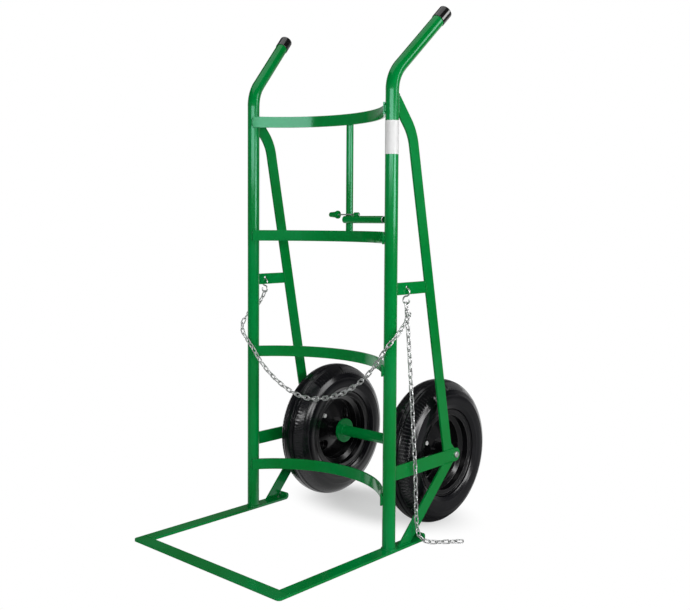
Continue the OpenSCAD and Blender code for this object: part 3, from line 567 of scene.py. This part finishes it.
# Places of the welds on the part, in millimetres
tube_x, tube_y = 242, upright_y / mm
bar_top = 6.4
rung_heights = (126, 439, 755, 1061)
mid_brace, axle_brace, stay_head = (620, 647), (174, 204), (1050, 1096)
leg_head_z, leg_head_back = 172, (204.5, 247.5)
stay_foot_back, stay_foot_z = 226, 206
stay_lean = 11.16
stay_half = 16.82
stay_flare = 13


def stay_front(z):
    """Setback of the stay's front edge at a height, in millimetres."""
    return stay_foot_back - (z - stay_foot_z) * tan(radians(stay_lean)) - stay_half


# Beads between a rung and its tube: across, back, half the length and the radius
rung_beads = ((231.8, -47.2, 10, 3.1), (226.2, -35.8, 9, 1.5))
# Beads between a side plate and its tube: across and setback
tube_plate_beads = ((252.7, 12.6), (247.2, 15.6))
# Faces of the side plates, and of the legs' feet
plate_faces = (247.4, 252.6)
foot_faces = (246.9, 253.1)
# Sides, with the setback and half the length of a leg's foot
leg_feet = ((-1, 75, 20.3), (1, 49, 22.0))


def add_rung_welds(bm, s):
    for z in rung_heights:
        for x, y, half, bead_r in rung_beads:
            weld_run(bm, (s * x, y, z - half), (s * x, y, z + half), bead_r)


def add_side_frame_welds(bm, s, foot_back, foot_half):
    for x, back in tube_plate_beads:
        for low, high in (mid_brace, axle_brace, stay_head):
            weld_run(bm, (s * x, tube_y + back, low), (s * x, tube_y + back, high), 2.3)
    for x in plate_faces:
        weld_run(bm, (s * x, tube_y + stay_foot_back - stay_half + 1.5, stay_foot_z),
                 (s * x, tube_y + stay_foot_back + stay_half + stay_flare - 1.5, stay_foot_z), 2.0)
        weld_run(bm, (s * x, tube_y + leg_head_back[0], leg_head_z),
                 (s * x, tube_y + leg_head_back[1], leg_head_z), 2.0)
        low, high = mid_brace
        weld_run(bm, (s * x, tube_y + stay_front(low), low),
                 (s * x, tube_y + stay_front(high), high), 2.0)
    for x in foot_faces:
        weld_run(bm, (s * x, tube_y + foot_back - foot_half, bar_top),
                 (s * x, tube_y + foot_back + foot_half, bar_top), 2.4)


def add_hanger_welds(bm):
    post_x, post_y, post_half = 4.2, 80.6, 12
    arm_from, arm_to, arm_y, arm_sides = 0.5, 8, 79.4, (795, 803)
    boss_from, boss_to, boss_sides, boss_z = 36.5, 47.5, (65.2, 74.4), 807.6
    for x in (-post_x, post_x):
        for z in rung_heights[2:]:
            weld_run(bm, (x, post_y, z - post_half), (x, post_y, z + post_half), 2.4)
    for z in arm_sides:
        weld_run(bm, (arm_from, arm_y, z), (arm_to, arm_y, z), 2.2)
    for y in boss_sides:
        weld_run(bm, (boss_from, y, boss_z), (boss_to, y, boss_z), 1.8)


def make_welds():
    collar_x, axle_back, axle_up = 135.3, axle_y / mm, axle_z / mm
    toe_inner, toe_outer, toe_front, toe_top = 228, 259, -383.5, 5.6
    bm = bmesh.new()
    for s, foot_back, foot_half in leg_feet:
        weld_ring(bm, (s * tube_x, tube_y, bar_top), (0, 0, 1), 16.7, 2.6)
        weld_ring(bm, (s * collar_x, axle_back, axle_up), (1, 0, 0), 15.6, 2.6)
        weld_run(bm, (s * toe_inner, toe_front, toe_top), (s * toe_outer, toe_front, toe_top), 1.7)
        add_rung_welds(bm, s)
        add_side_frame_welds(bm, s, foot_back, foot_half)
    add_hanger_welds(bm)
    finished("frame_welds", bm, "frame", green_enamel, sharp=80)


make_welds()


# Bare cut end of the hanger arm

def make_arm_end():
    """A thin bright ring round the mouth of the arm's tube."""
    outer_r, inner_r, lap = 9.6 * mm, 8.0 * mm, 0.6 * mm
    centre = Vector((133 * mm, 69.8 * mm, 799 * mm))
    rim_middle = centre + Vector((lap / 2, 0, (outer_r + inner_r) / 2))
    place = Matrix.Translation(rim_middle) @ Matrix.Rotation(pi / 2, 4, "X")
    bm = bmesh.new()
    ring = bmesh.ops.create_circle(bm, segments=8, radius=(outer_r - inner_r) / 2, matrix=place)
    bmesh.ops.spin(bm, geom=ring["verts"] + ring_edges(ring), cent=centre, axis=(1, 0, 0),
                   angle=2 * pi, steps=36, use_merge=True)
    finished("arm_cut_end", bm, "frame", turned_steel)


make_arm_end()


# Finishes of the part's own nodes

def dress_nodes():
    for entry in frame["record"]["subparts"]:
        node = nodes[entry["node"]]
        for slot in node.material_slots:
            slot.material = finish_of_slot[entry["material_slot"]]
    for side in ("left", "right"):
        nodes[side + "_valve_cap"].material_slots[0].material = cap_plastic
        nodes[side + "_s_hook"].material_slots[0].material = hook_zinc
        nodes[side + "_upright"].material_slots[0].material = tube_enamel


dress_nodes()


# Floor and light

floor_reach = 30
backdrop_heading = (-0.68, 0.73, 0)
backdrop_from, backdrop_to = 0.3, 0.75
floor_white, floor_mirrored = (0.9, 0.9, 0.9), (0.3, 0.3, 0.3)
shadow_across = 0.6
shadow_from, shadow_to, shadow_glow = 0.07, 0.2, 0.4
room_light = 0.11
mirrored_room, mirrored_backdrop = 0.15, 0.4
ceiling_from, ceiling_to, ceiling_light = 0.24, 0.31, 0.15


def backdrop_share(tree, place):
    """Share that rises from nothing to one towards the backdrop behind the trolley."""
    heading = tree.nodes.new("ShaderNodeVectorMath")
    heading.operation = "NORMALIZE"
    tree.links.new(place, heading.inputs[0])
    along = tree.nodes.new("ShaderNodeVectorMath")
    along.operation = "DOT_PRODUCT"
    along.inputs[1].default_value = backdrop_heading
    tree.links.new(heading.outputs["Vector"], along.inputs[0])
    share = tree.nodes.new("ShaderNodeMapRange")
    share.interpolation_type = "SMOOTHSTEP"
    share.inputs["From Min"].default_value = backdrop_from
    share.inputs["From Max"].default_value = backdrop_to
    tree.links.new(along.outputs["Value"], share.inputs["Value"])
    return share.outputs["Result"]


def make_floor():
    """A floor that is white to the camera, and keeps a shadow under the wheels."""
    bm = bmesh.new()
    bmesh.ops.create_grid(bm, x_segments=1, y_segments=1, size=floor_reach)
    mesh = bpy.data.meshes.new("studio_floor")
    bm.to_mesh(mesh)
    bm.free()
    floor = bpy.data.objects.new("studio_floor", mesh)
    scene.collection.objects.link(floor)
    material = bpy.data.materials.new("white_floor")
    material.use_nodes = True
    tree = material.node_tree
    tree.nodes.clear()
    matt = tree.nodes.new("ShaderNodeBsdfDiffuse")
    glow = tree.nodes.new("ShaderNodeEmission")
    seen = tree.nodes.new("ShaderNodeLightPath")
    place = tree.nodes.new("ShaderNodeTexCoord")
    mirrored = math_node(tree, "MULTIPLY", seen.outputs["Is Glossy Ray"],
                         backdrop_share(tree, place.outputs["Object"]))
    seen_white = math_node(tree, "MAXIMUM", seen.outputs["Is Camera Ray"], mirrored)
    apart = math_node(tree, "SUBTRACT", seen.outputs["Is Glossy Ray"], mirrored)
    tree.links.new(blend_colour(tree, apart, floor_white, floor_mirrored), matt.inputs["Color"])
    reach = tree.nodes.new("ShaderNodeVectorMath")
    reach.operation = "DISTANCE"
    reach.inputs[1].default_value = (0, axle_y, 0)
    along_axle = tree.nodes.new("ShaderNodeMapping")
    along_axle.inputs["Scale"].default_value = (shadow_across, 1, 1)
    tree.links.new(place.outputs["Object"], along_axle.inputs["Vector"])
    tree.links.new(along_axle.outputs["Vector"], reach.inputs[0])
    fade = tree.nodes.new("ShaderNodeMapRange")
    fade.interpolation_type = "SMOOTHSTEP"
    fade.inputs["From Min"].default_value = shadow_from
    fade.inputs["From Max"].default_value = shadow_to
    fade.inputs["To Min"].default_value = shadow_glow
    tree.links.new(reach.outputs["Value"], fade.inputs["Value"])
    share = math_node(tree, "MULTIPLY", seen_white, fade.outputs["Result"])
    mix = tree.nodes.new("ShaderNodeMixShader")
    tree.links.new(share, mix.inputs["Fac"])
    tree.links.new(matt.outputs[0], mix.inputs[1])
    tree.links.new(glow.outputs[0], mix.inputs[2])
    out = tree.nodes.new("ShaderNodeOutputMaterial")
    tree.links.new(mix.outputs[0], out.inputs["Surface"])
    mesh.materials.append(material)


def make_world():
    """White to the camera up to the ceiling, and dimmer where it lights or is mirrored."""
    world = bpy.data.worlds.new("studio")
    world.use_nodes = True
    scene.world = world
    tree = world.node_tree
    ground = tree.nodes["Background"]
    seen = tree.nodes.new("ShaderNodeLightPath")
    towards = tree.nodes.new("ShaderNodeTexCoord")
    split = tree.nodes.new("ShaderNodeSeparateXYZ")
    tree.links.new(towards.outputs["Generated"], split.inputs[0])
    ceiling = tree.nodes.new("ShaderNodeMapRange")
    ceiling.interpolation_type = "SMOOTHSTEP"
    ceiling.inputs["From Min"].default_value = ceiling_from
    ceiling.inputs["From Max"].default_value = ceiling_to
    ceiling.inputs["To Min"].default_value = 1.0
    ceiling.inputs["To Max"].default_value = ceiling_light
    tree.links.new(split.outputs["Z"], ceiling.inputs["Value"])
    behind = backdrop_share(tree, towards.outputs["Generated"])
    mirrored = tree.nodes.new("ShaderNodeMapRange")
    mirrored.inputs["To Min"].default_value = mirrored_room
    mirrored.inputs["To Max"].default_value = mirrored_backdrop
    tree.links.new(behind, mirrored.inputs["Value"])
    light = tree.nodes.new("ShaderNodeMapRange")
    light.inputs["To Min"].default_value = room_light
    tree.links.new(seen.outputs["Is Glossy Ray"], light.inputs["Value"])
    glossy = math_node(tree, "MULTIPLY", mirrored.outputs["Result"], ceiling.outputs["Result"])
    tree.links.new(glossy, light.inputs["To Max"])
    clear = math_node(tree, "MAXIMUM", seen.outputs["Is Camera Ray"],
                      seen.outputs["Is Transmission Ray"])
    mix = tree.nodes.new("ShaderNodeMapRange")
    tree.links.new(clear, mix.inputs["Value"])
    tree.links.new(light.outputs["Result"], mix.inputs["To Min"])
    tree.links.new(ceiling.outputs["Result"], mix.inputs["To Max"])
    tree.links.new(mix.outputs["Result"], ground.inputs["Strength"])
    ground.inputs["Color"].default_value = (1, 1, 1, 1)


def soft_lamp(name, place, aim, size, watts, mirrored=True):
    """An area lamp that the camera doesn't see, mirrored by glossy surfaces or not."""
    lamp = bpy.data.lights.new(name, "AREA")
    lamp.shape = "RECTANGLE"
    lamp.size, lamp.size_y = size
    lamp.energy = watts
    holder = bpy.data.objects.new(name, lamp)
    holder.location = place
    holder.rotation_euler = (Vector(aim) - Vector(place)).to_track_quat("-Z", "Y").to_euler()
    holder.visible_camera = False
    holder.visible_glossy = mirrored
    scene.collection.objects.link(holder)


make_floor()
make_world()
soft_lamp("front_softbox", (1.5, -2.53, 1.34), (-0.1, 0, 0.8), (3.5, 0.6), 44)
soft_lamp("right_softbox", (3.0, 0.25, 1.05), (0, 0, 0.7), (1.8, 0.6), 31)
soft_lamp("handle_softbox", (2.75, 1.45, 1.98), (0.2, 0.1, 1.1), (1.1, 1.0), 20)
soft_lamp("top_softbox", (-0.3, -0.4, 3.4), (0, 0.1, 0.2), (3.0, 3.0), 29)
soft_lamp("back_softbox", (-1.6, 2.7, 1.8), (0, 0.1, 0.7), (2.4, 1.8), 40, mirrored=False)

scene.view_settings.view_transform = "Standard"
